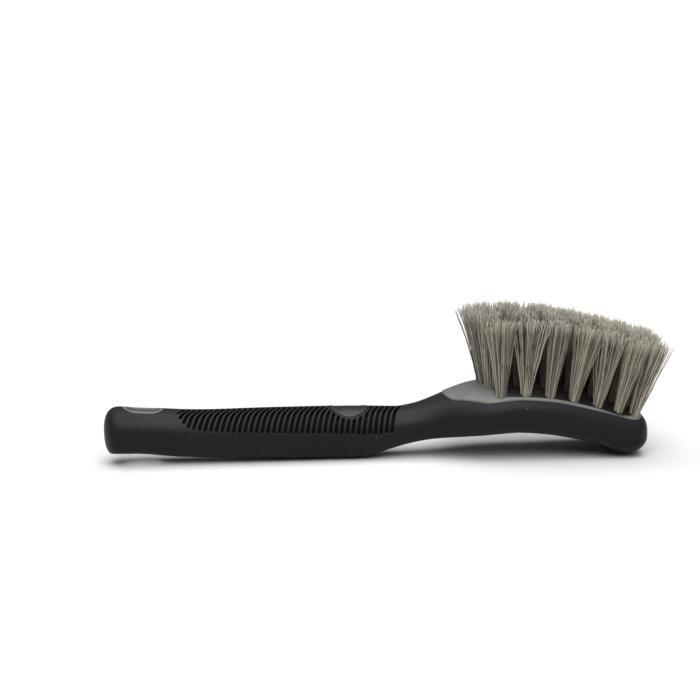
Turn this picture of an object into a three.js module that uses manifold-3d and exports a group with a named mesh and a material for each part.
// Wheel brush: a grey core with a soft black overmould, a round badge in the grip, and a crowned
// head with rows of flagged bristle tufts. Millimetres, +X from the handle end to the head, +Z up,
// lying on its belly with the bristles up.
import * as THREE from 'three';
import { mergeVertices } from 'three/addons/utils/BufferGeometryUtils.js';
import Module from 'manifold-3d';

const wasm = await Module();
wasm.setup();

// Lengths along the brush
const HANDLE_LENGTH = 156; // handle end to where the neck starts to rise
const NECK_LENGTH = 42; // the rise from the handle to the head
const HEAD_LENGTH = 92; // head, from the top of the neck to the tip

// Handle section
const HANDLE_WIDTH = 29;
const HANDLE_THICKNESS = 25;
const END_TOP = 9; // how far the handle's end takes to reach its full height
const END_FOOT = 4.5; // the same under its widest place
const END_SIDE = 8; // the same for its width
const END_POWER = 2.4; // how square the end's rounding is
const BELLY_RISE = 5.5; // the handle end's clearance over what the belly rests on

// Head section
const HEAD_WIDTH = 61;
const HEAD_THICKNESS = 24.8; // crest of the face to the top of the arch under the head
const HEAD_RISE = 38.3; // crest of the face over what the brush rests on
const TIP_DROP = 15.6; // how far the crest comes down from its highest place to the tip
const TIP_ROUNDING = 12; // plan rounding of the tip
const TIP_POWER = 3; // how square that rounding is: 2 is a true ellipse
const TIP_CHAMFER = 7.5; // how far the tip's edges take to turn in, over and under
const CHAMFER_POWER = 1.5; // how square that turn is: 1 is a flat chamfer

// Overmould and the fits of what it wraps
const OVERMOULD_WALL = 3;
const CLEARANCE = 0.3;

// Face plate of the core, inside the overmould's bumper
const BUMPER_RIM = 3.6; // bumper's width in plan beside the face
const TONGUE_LENGTH = 17.2; // narrow part of the face that runs down the neck
const TONGUE_WIDTH = 26;
const PLATE_PROUD = 0.5; // the face plate's height over the bumper beside it

// Hanging slot near the handle's end
const SLOT_CENTRE = 20.5;
const SLOT_LENGTH = 17.5;
const SLOT_WIDTH = 10.5;
const SLOT_RIM = 1.8; // grey rim of the core round the slot

// Grip grooves
const GRIP_START = 33.9; // lower end of the first groove, along the handle
const GRIP_LENGTH = 117; // lower end of the first groove to that of the last
const GROOVE_PITCH = 3;
const GROOVE_WIDTH = 1.75;
const GROOVE_DEPTH = 1.9;
const GROOVE_SWEEP = 8; // how far the first grooves lean towards the head at the top of the grip
const LAST_SWEEP = 5.6; // the same for the last groove
const STEADY_LEAN = 0.55; // share of that lean that builds up evenly up the side
const TOP_LEAN_POWER = 16; // how suddenly the rest of it comes, over the top
const GROOVE_REACH = 87; // degrees from the top of the grip down to the longest grooves' ends

// Badge
const BADGE_CENTRE = 129.3;
const BADGE_DIAMETER = 21;
const BADGE_DEPTH = 1.6; // seat depth below the top of the grip
const BADGE_MARGIN = 1.6; // plain ring between the badge and the ends of the grooves
const BADGE_RING = 1; // width of the badge's raised edge
const BADGE_PROUD = 0.3; // height of the badge's edge over the grip
const BADGE_DISH = 0.4; // depth of the badge's field below the grip

// Tufts
const COLUMNS = 7;
const ROWS = 5;
const COLUMN_PITCH = 13;
const HOLE_TO_EDGE = 0.6; // the outer rows' holes to the edge of the face
const FIRST_COLUMN = 9.4; // top of the neck to the outer tufts of the first column
const OUTLINE_BOW = 4.8; // how far the middle tuft of the first column stands ahead of its ends
const SECOND_BOW = 1.8; // the same for the second column
const TIP_BOW = 0.8; // the same for the last column, towards the tip
const HOLE_DIAMETER = 5.6;
const HOLE_DEPTH = 11;
const TUFT_LENGTH = 41; // bristle trim over the face
const TIP_GAP = 2.8; // room between the trims of two columns, over their pitch
const OUTER_SPLAY = 10; // degrees that the outer rows lean outwards
const TIP_CLOSING = 0.104; // how the columns close up towards the tip, as a share of their pitch
const CLOSING_FROM = 4; // the last column at the full pitch, counted from 0
const ANCHOR_HEIGHT = 2;
const ANCHOR_THICKNESS = 0.5;

// Fineness of the skins: rings along the brush and sides round it
const SKIN = { rings: 30, sides: 20 };
const BONE = { rings: 20, sides: 16 };

const TOTAL_LENGTH = HANDLE_LENGTH + NECK_LENGTH + HEAD_LENGTH;
const NECK_END = HANDLE_LENGTH + NECK_LENGTH;
const RAD = Math.PI / 180;

const material = (color, roughness) =>
  new THREE.MeshStandardMaterial({ color, roughness, metalness: 0 });
const coreGrey = material(0x858a82, 0.5);
const softBlack = material(0x2e2f31, 0.72);
const badgeGrey = material(0x4a5254, 0.45);
const bristle = material(0xa8a196, 0.8);

// ---------------------------------------------------------------- solids and booleans

function solidOf(geometry) {
  const bare = geometry.index ? geometry.clone() : geometry;
  bare.deleteAttribute('normal');
  bare.deleteAttribute('uv');
  const merged = mergeVertices(bare, 1e-4);
  return new wasm.Manifold(
    new wasm.Mesh({
      numProp: 3,
      vertProperties: Float32Array.from(merged.attributes.position.array),
      triVerts: Uint32Array.from(merged.index.array),
    }),
  );
}

function geometryOf(solid) {
  const mesh = solid.getMesh();
  const geometry = new THREE.BufferGeometry();
  geometry.setAttribute('position', new THREE.BufferAttribute(mesh.vertProperties, 3));
  geometry.setIndex(new THREE.BufferAttribute(mesh.triVerts, 1));
  return geometry;
}

// A closed skin over rings of points, each ring running the same way round.
function loft(rings) {
  const points = [];
  const faces = [];
  const sides = rings[0].length;
  rings.forEach((ring) => ring.forEach((p) => points.push(...p)));
  for (let r = 0; r + 1 < rings.length; r += 1) {
    for (let s = 0; s < sides; s += 1) {
      const a = r * sides + s;
      const b = r * sides + ((s + 1) % sides);
      faces.push(a, b, b + sides, a, b + sides, a + sides);
    }
  }
  [rings[0], rings[rings.length - 1]].forEach((ring, last) => {
    const middle = points.length / 3;
    const start = last * (rings.length - 1) * sides;
    const sum = ring.reduce((t, p) => t.map((v, k) => v + p[k] / sides), [0, 0, 0]);
    points.push(...sum);
    for (let s = 0; s < sides; s += 1) {
      const a = start + s;
      const b = start + ((s + 1) % sides);
      faces.push(middle, last ? a : b, last ? b : a);
    }
  });
  const geometry = new THREE.BufferGeometry();
  geometry.setAttribute('position', new THREE.Float32BufferAttribute(points, 3));
  geometry.setIndex(faces);
  return geometry;
}

// ---------------------------------------------------------------- the brush's outer form

// Smooth value through named places along the brush.
function along(x, stops) {
  const last = stops.length - 1;
  if (x <= stops[0][0]) return stops[0][1];
  if (x >= stops[last][0]) return stops[last][1];
  let i = 0;
  while (x > stops[i + 1][0]) i += 1;
  const slope = (k) => {
    const a = stops[Math.max(k - 1, 0)];
    const b = stops[Math.min(k + 1, last)];
    return (b[1] - a[1]) / (b[0] - a[0]);
  };
  const [x0, v0] = stops[i];
  const [x1, v1] = stops[i + 1];
  const step = x1 - x0;
  const t = (x - x0) / step;
  const ease = t * t * (3 - 2 * t);
  const bend = (t * (1 - t) * (1 - t) * slope(i) - t * t * (1 - t) * slope(i + 1)) * step;
  return v0 + (v1 - v0) * ease + bend;
}

const onHandle = (share) => share * HANDLE_LENGTH;
const onNeck = (share) => HANDLE_LENGTH + share * NECK_LENGTH;
const onHead = (share) => NECK_END + share * HEAD_LENGTH;

const CREST = [
  [0, HANDLE_THICKNESS + BELLY_RISE + 0.4],
  [onHandle(0.14), HANDLE_THICKNESS + BELLY_RISE - 1.2],
  [onHandle(0.32), HANDLE_THICKNESS + 2.6],
  [onHandle(0.55), HANDLE_THICKNESS + 2.7],
  [onHandle(0.83), HANDLE_THICKNESS + 2.5],
  [onNeck(0), HANDLE_THICKNESS + 1.5],
  [onNeck(0.1), HANDLE_THICKNESS + 1.9],
  [onNeck(0.28), HEAD_RISE - 9.9],
  [onNeck(0.5), HEAD_RISE - 6.9],
  [onNeck(0.75), HEAD_RISE - 3.5],
  [onNeck(1), HEAD_RISE - 1],
  [onHead(0.18), HEAD_RISE],
  [onHead(0.41), HEAD_RISE - 0.11 * TIP_DROP],
  [onHead(0.6), HEAD_RISE - 0.36 * TIP_DROP],
  [onHead(0.8), HEAD_RISE - 0.68 * TIP_DROP],
  [onHead(1), HEAD_RISE - TIP_DROP],
];
const ARCH = HEAD_RISE - HEAD_THICKNESS;
const BELLY = [
  [0, BELLY_RISE + 0.3],
  [onHandle(0.12), BELLY_RISE - 0.2],
  [onHandle(0.26), BELLY_RISE - 2.3],
  [onHandle(0.55), 1.2],
  [onHandle(0.86), 0],
  [onHandle(0.9), 0.6],
  [onHandle(0.965), 3.9],
  [onNeck(0.1), ARCH - 6.9],
  [onNeck(0.33), ARCH - 4.8],
  [onNeck(0.6), ARCH - 3.3],
  [onNeck(1), ARCH - 1.6],
  [onHead(0.2), ARCH],
  [onHead(0.385), ARCH - 1.3],
  [onHead(0.53), ARCH - 3.8],
  [onHead(0.685), ARCH - 7.2],
  [onHead(0.77), 2.7],
  [onHead(0.83), 0.6],
  [onHead(0.87), 0],
  [onHead(0.92), 0.9],
  [onHead(1), 4],
];
const HALF_WIDTH = [
  [0, HANDLE_WIDTH / 2 - 0.8],
  [onHandle(0.3), HANDLE_WIDTH / 2 - 0.5],
  [onHandle(0.6), HANDLE_WIDTH / 2],
  [onHandle(0.9), HANDLE_WIDTH / 2],
  [onNeck(0.15), HANDLE_WIDTH / 2 - 0.3],
  [onNeck(0.45), TONGUE_WIDTH / 2 + 4],
  [onNeck(0.75), 0.79 * (HEAD_WIDTH / 2)],
  [onNeck(1.05), 0.94 * (HEAD_WIDTH / 2)],
  [onHead(0.18), HEAD_WIDTH / 2],
  [onHead(0.6), HEAD_WIDTH / 2],
  [onHead(0.85), 0.96 * (HEAD_WIDTH / 2)],
  [onHead(1), 0.9 * (HEAD_WIDTH / 2)],
];
// How square the section is, over and under its widest place
const UPPER_POWER = [
  [onNeck(0), 2.2],
  [onHead(0), 2.6],
  [onHead(0.2), 3.2],
];
const LOWER_POWER = [
  [onNeck(0), 2.3],
  [onHead(0.1), 3],
  [onHead(0.7), 3],
  [onHead(0.92), 2.4],
];
// Share of the section's height that is over its widest place
const UPPER_SHARE = [
  [onNeck(0), 0.5],
  [onHead(0.1), 0.6],
];

// Lean of the columns towards the tip, in degrees, from the first column to the last
const LEAN = [
  [0, -4],
  [1 / 6, 2],
  [2 / 6, 5.5],
  [4 / 6, 9.5],
  [1, 16.5],
];

const roundOff = (distance, reach, power) =>
  distance >= reach ? 1 : (1 - (1 - Math.max(distance, 0) / reach) ** power) ** (1 / power);

// Half width, crest, belly and powers of the outer form at one place
function section(x) {
  const crest = along(x, CREST);
  const belly = along(x, BELLY);
  const tip = roundOff(TOTAL_LENGTH - x, TIP_ROUNDING, TIP_POWER);
  const nose = 0.5 + 0.5 * roundOff(TOTAL_LENGTH - x, TIP_CHAMFER, CHAMFER_POWER);
  const wide = belly + (1 - along(x, UPPER_SHARE)) * (crest - belly);
  return {
    half: along(x, HALF_WIDTH) * roundOff(x, END_SIDE, END_POWER) * tip,
    wide,
    up: (crest - wide) * roundOff(x, END_TOP, END_POWER) * nose,
    down: (wide - belly) * roundOff(x, END_FOOT, END_POWER) * nose,
    upperPower: along(x, UPPER_POWER),
    lowerPower: along(x, LOWER_POWER),
  };
}

// Point of the outer form at x, by degrees from its top, drawn in by an inset
function skinPoint(x, turn, inset = 0) {
  const s = section(x);
  const across = Math.sin(turn * RAD);
  const up = Math.cos(turn * RAD);
  const power = up >= 0 ? s.upperPower : s.lowerPower;
  const rise = up >= 0 ? s.up : s.down;
  const y = Math.sign(across) * Math.abs(across) ** (2 / power) * (s.half - inset);
  const z = Math.sign(up) * Math.abs(up) ** (2 / power) * (rise - inset);
  return [x, y, s.wide + z];
}

// Height of the outer form's upper side at a place in plan
function faceHeight(x, y) {
  const s = section(x);
  const share = Math.min(Math.abs(y) / s.half, 0.999);
  return s.wide + s.up * (1 - share ** s.upperPower) ** (1 / s.upperPower);
}

// Places where rings stand: at fixed steps near both ends, where the form turns in quickly, and
// between them closer together towards the ends
function ringPlaces(from, to, count) {
  const steps = [0, 0.5, 1.4, 2.8];
  const near = 5;
  const places = [];
  for (let i = 0; i <= count; i += 1) {
    const t = i / count;
    const eased = (1 - Math.cos(Math.PI * t)) / 2;
    places.push(from + near + (0.45 * t + 0.55 * eased) * (to - from - 2 * near));
  }
  const last = steps.map((step) => to - step).reverse();
  return [...steps.map((step) => from + step), ...places, ...last];
}

// The rings moved out by a step at both ends, so that a grown solid clears its neighbour there
function withEnds(rings, step) {
  const moved = (ring, by) => ring.map(([x, y, z]) => [x + by, y, z]);
  return [moved(rings[0], -step), ...rings, moved(rings[rings.length - 1], step)];
}

// The outer form drawn in by an inset, then grown evenly, as one closed solid
function bodySolid(inset, fineness = SKIN, grow = 0) {
  const { rings, sides } = fineness;
  const start = Math.max(inset, 0) + 0.12;
  const skins = ringPlaces(start, TOTAL_LENGTH - start, rings).map((x) => {
    const ring = [];
    for (let s = 0; s < sides; s += 1) ring.push(skinPoint(x, (-360 * s) / sides, inset - grow));
    return ring;
  });
  return solidOf(loft(grow ? withEnds(skins, grow) : skins));
}

// ---------------------------------------------------------------- plan outlines

// Half width of the face plate: a narrow tongue down the neck, then the head's own outline
function faceHalf(x) {
  const start = NECK_END - TONGUE_LENGTH;
  const share = along(x, [
    [start + 0.05 * TONGUE_LENGTH, 0],
    [start + 0.6 * TONGUE_LENGTH, 0.7],
    [NECK_END + 0.05 * TONGUE_LENGTH, 0.97],
    [NECK_END + 0.5 * TONGUE_LENGTH, 1],
  ]);
  const wide = along(x, HALF_WIDTH) - BUMPER_RIM;
  const tip = roundOff(TOTAL_LENGTH - BUMPER_RIM - x, TIP_ROUNDING - BUMPER_RIM, TIP_POWER);
  const corner = roundOff(x - start, 5, 2.4);
  return (TONGUE_WIDTH / 2 + (wide - TONGUE_WIDTH / 2) * share) * corner * tip;
}

// The space over the face plate, from the body's widest place to over its crest
function overFace(inset, grow = 0) {
  const start = NECK_END - TONGUE_LENGTH + inset;
  const end = TOTAL_LENGTH - BUMPER_RIM - inset;
  const rings = ringPlaces(start + 0.1, end - 0.1, 20).map((x) => {
    const half = Math.max(faceHalf(x) - inset, 0.5) + grow;
    const s = section(x);
    const floor = s.wide - grow;
    const top = s.wide + s.up + 8;
    return [
      [x, -half, floor],
      [x, half, floor],
      [x, half, top],
      [x, -half, top],
    ];
  });
  return solidOf(loft(grow ? withEnds(rings, grow) : rings));
}

function slotSolid(grow) {
  const end = SLOT_WIDTH / 2 + grow;
  const straight = (SLOT_LENGTH - SLOT_WIDTH) / 2;
  const outline = new THREE.Shape();
  outline.absarc(SLOT_CENTRE + straight, 0, end, -Math.PI / 2, Math.PI / 2);
  outline.absarc(SLOT_CENTRE - straight, 0, end, Math.PI / 2, 1.5 * Math.PI);
  const geometry = new THREE.ExtrudeGeometry(outline, {
    depth: HANDLE_THICKNESS + 2 * BELLY_RISE + 10,
    bevelEnabled: false,
    curveSegments: 7,
  });
  geometry.translate(0, 0, -5);
  return solidOf(geometry);
}

// An upright cylinder over the badge's place, from the grip's widest place up
function badgeSpace(radius) {
  const { wide, up } = section(BADGE_CENTRE);
  const height = up + 5;
  const geometry = new THREE.CylinderGeometry(radius, radius, height, 36);
  geometry.rotateX(Math.PI / 2);
  geometry.translate(BADGE_CENTRE, 0, wide + height / 2);
  return solidOf(geometry);
}

// ---------------------------------------------------------------- tuft places

// Foot, lean along the brush and splay across it of each tuft, from the neck to the tip
function tuftPlaces() {
  const places = [];
  for (let column = 0; column < COLUMNS; column += 1) {
    for (let row = 0; row < ROWS; row += 1) {
      const across = (2 * row) / (ROWS - 1) - 1;
      const closing = COLUMN_PITCH * TIP_CLOSING * Math.max(column - CLOSING_FROM, 0) ** 2;
      const bows = { 0: -OUTLINE_BOW, 1: -SECOND_BOW, [COLUMNS - 1]: TIP_BOW };
      const bow = (bows[column] ?? 0) * (1 - across * across);
      const x = NECK_END + FIRST_COLUMN + column * COLUMN_PITCH - closing;
      places.push({
        name: `tuft_${column + 1}_${row + 1}`,
        x: x + bow,
        y: across * (faceHalf(x) - HOLE_DIAMETER / 2 - HOLE_TO_EDGE),
        lean: along(column / (COLUMNS - 1), LEAN) * RAD,
        splay: across * OUTER_SPLAY * RAD,
      });
    }
  }
  return places;
}

// Sets a shape that stands on the origin along +Z onto a tuft's foot
function setAtFoot(geometry, place) {
  const up = new THREE.Vector3(Math.tan(place.lean), Math.tan(place.splay), 1).normalize();
  const turn = new THREE.Quaternion().setFromUnitVectors(new THREE.Vector3(0, 0, 1), up);
  geometry.applyQuaternion(turn);
  geometry.translate(place.x, place.y, faceHeight(place.x, place.y));
  return geometry;
}

function tuftHole(place) {
  const mouth = 8;
  const radius = HOLE_DIAMETER / 2;
  const geometry = new THREE.CylinderGeometry(radius, radius, HOLE_DEPTH + mouth, 10);
  geometry.rotateX(Math.PI / 2);
  geometry.translate(0, 0, (mouth - HOLE_DEPTH) / 2);
  return solidOf(setAtFoot(geometry, place));
}

// ---------------------------------------------------------------- sub-parts

function core() {
  const plate = bodySolid(-PLATE_PROUD).intersect(overFace(CLEARANCE));
  const rim = bodySolid(0).intersect(slotSolid(SLOT_RIM));
  let solid = bodySolid(OVERMOULD_WALL, BONE).add(plate).add(rim).subtract(slotSolid(0));
  tuftPlaces().forEach((place) => {
    solid = solid.subtract(tuftHole(place));
  });
  return solid;
}

// How far down the sides the grooves reach, as a share of the longest: the pattern has round ends
const GRIP_OUTLINE = [
  [0, 0.25],
  [0.026, 0.45],
  [0.051, 0.61],
  [0.077, 0.72],
  [0.103, 0.775],
  [0.18, 0.82],
  [0.38, 0.88],
  [0.7, 0.92],
  [0.9, 0.965],
  [1, 1],
];
// The same share for how far they lean towards the head
const GRIP_SWEEP = [
  [0, GROOVE_SWEEP],
  [0.5, 0.94 * GROOVE_SWEEP],
  [1, LAST_SWEEP],
];

// One groove's cutter: a square strip that arches over the grip and leans towards the head on top
function groove(x) {
  const steps = 8;
  const share = (x - GRIP_START) / GRIP_LENGTH;
  const reach = GROOVE_REACH * along(share, GRIP_OUTLINE);
  const sweep = along(share, GRIP_SWEEP);
  const half = GROOVE_WIDTH / 2;
  const rings = [];
  for (let i = 0; i <= steps; i += 1) {
    const turn = reach * (1 - (2 * i) / steps);
    const upright = Math.cos(turn * RAD);
    const lean = STEADY_LEAN * upright ** 2 + (1 - STEADY_LEAN) * upright ** TOP_LEAN_POWER;
    const middle = x + sweep * lean;
    rings.push([
      skinPoint(middle - half, turn, GROOVE_DEPTH),
      skinPoint(middle + half, turn, GROOVE_DEPTH),
      skinPoint(middle + half, turn, -1.5),
      skinPoint(middle - half, turn, -1.5),
    ]);
  }
  return solidOf(loft(rings));
}

function grooves() {
  let cutters = groove(GRIP_START);
  for (let x = GROOVE_PITCH; x <= GRIP_LENGTH; x += GROOVE_PITCH) {
    cutters = cutters.add(groove(GRIP_START + x));
  }
  return cutters.subtract(badgeSpace(BADGE_DIAMETER / 2 + BADGE_MARGIN));
}

function overmould() {
  const seatDepth = BADGE_DEPTH + CLEARANCE;
  const seat = badgeSpace(BADGE_DIAMETER / 2 + CLEARANCE).subtract(bodySolid(seatDepth));
  return bodySolid(0)
    .subtract(bodySolid(OVERMOULD_WALL, BONE, CLEARANCE))
    .subtract(overFace(CLEARANCE, CLEARANCE))
    .subtract(slotSolid(SLOT_RIM + CLEARANCE))
    .subtract(seat)
    .subtract(grooves());
}

function badge() {
  const radius = BADGE_DIAMETER / 2;
  const field = badgeSpace(radius - BADGE_RING).subtract(bodySolid(BADGE_DISH));
  return badgeSpace(radius)
    .intersect(bodySolid(-BADGE_PROUD))
    .subtract(bodySolid(BADGE_DEPTH))
    .subtract(field);
}

// One tuft with its anchor: filaments folded in the hole, spreading towards a rounded trim
function tuft(place) {
  const foot = HOLE_DIAMETER / 2 - CLEARANCE;
  const tip = (COLUMN_PITCH - TIP_GAP) / 2;
  const profile = [
    [CLEARANCE - HOLE_DEPTH, foot],
    [0.5, foot],
    [0.5 * TUFT_LENGTH, foot + 0.38 * (tip - foot)],
    [0.93 * TUFT_LENGTH, tip],
    [TUFT_LENGTH, 0.6 * tip],
  ];
  const sides = 8;
  const rings = profile.map(([height, radius]) => {
    const ring = [];
    for (let s = 0; s < sides; s += 1) {
      const turn = (360 * s * RAD) / sides;
      ring.push([radius * Math.cos(turn), radius * Math.sin(turn), height]);
    }
    return ring;
  });
  const bundle = solidOf(setAtFoot(loft(rings), place));
  const width = HOLE_DIAMETER - CLEARANCE;
  const plate = new THREE.BoxGeometry(ANCHOR_THICKNESS, width, ANCHOR_HEIGHT);
  plate.translate(0, 0, ANCHOR_HEIGHT - HOLE_DEPTH);
  return bundle.add(solidOf(setAtFoot(plate, place)));
}

// ---------------------------------------------------------------- the brush

const brush = new THREE.Group();
function piece(name, solid, look) {
  const mesh = new THREE.Mesh(geometryOf(solid), look);
  mesh.name = name;
  brush.add(mesh);
}

piece('core', core(), coreGrey);
piece('overmould', overmould(), softBlack);
piece('badge', badge(), badgeGrey);
tuftPlaces().forEach((place) => piece(place.name, tuft(place), bristle));

// The origin is under the middle of the brush, on the surface that it lies on
const reach = new THREE.Box3().setFromObject(brush);
const middle = reach.getCenter(new THREE.Vector3());
brush.position.set(-middle.x, -middle.y, -reach.min.z);

export default brush;
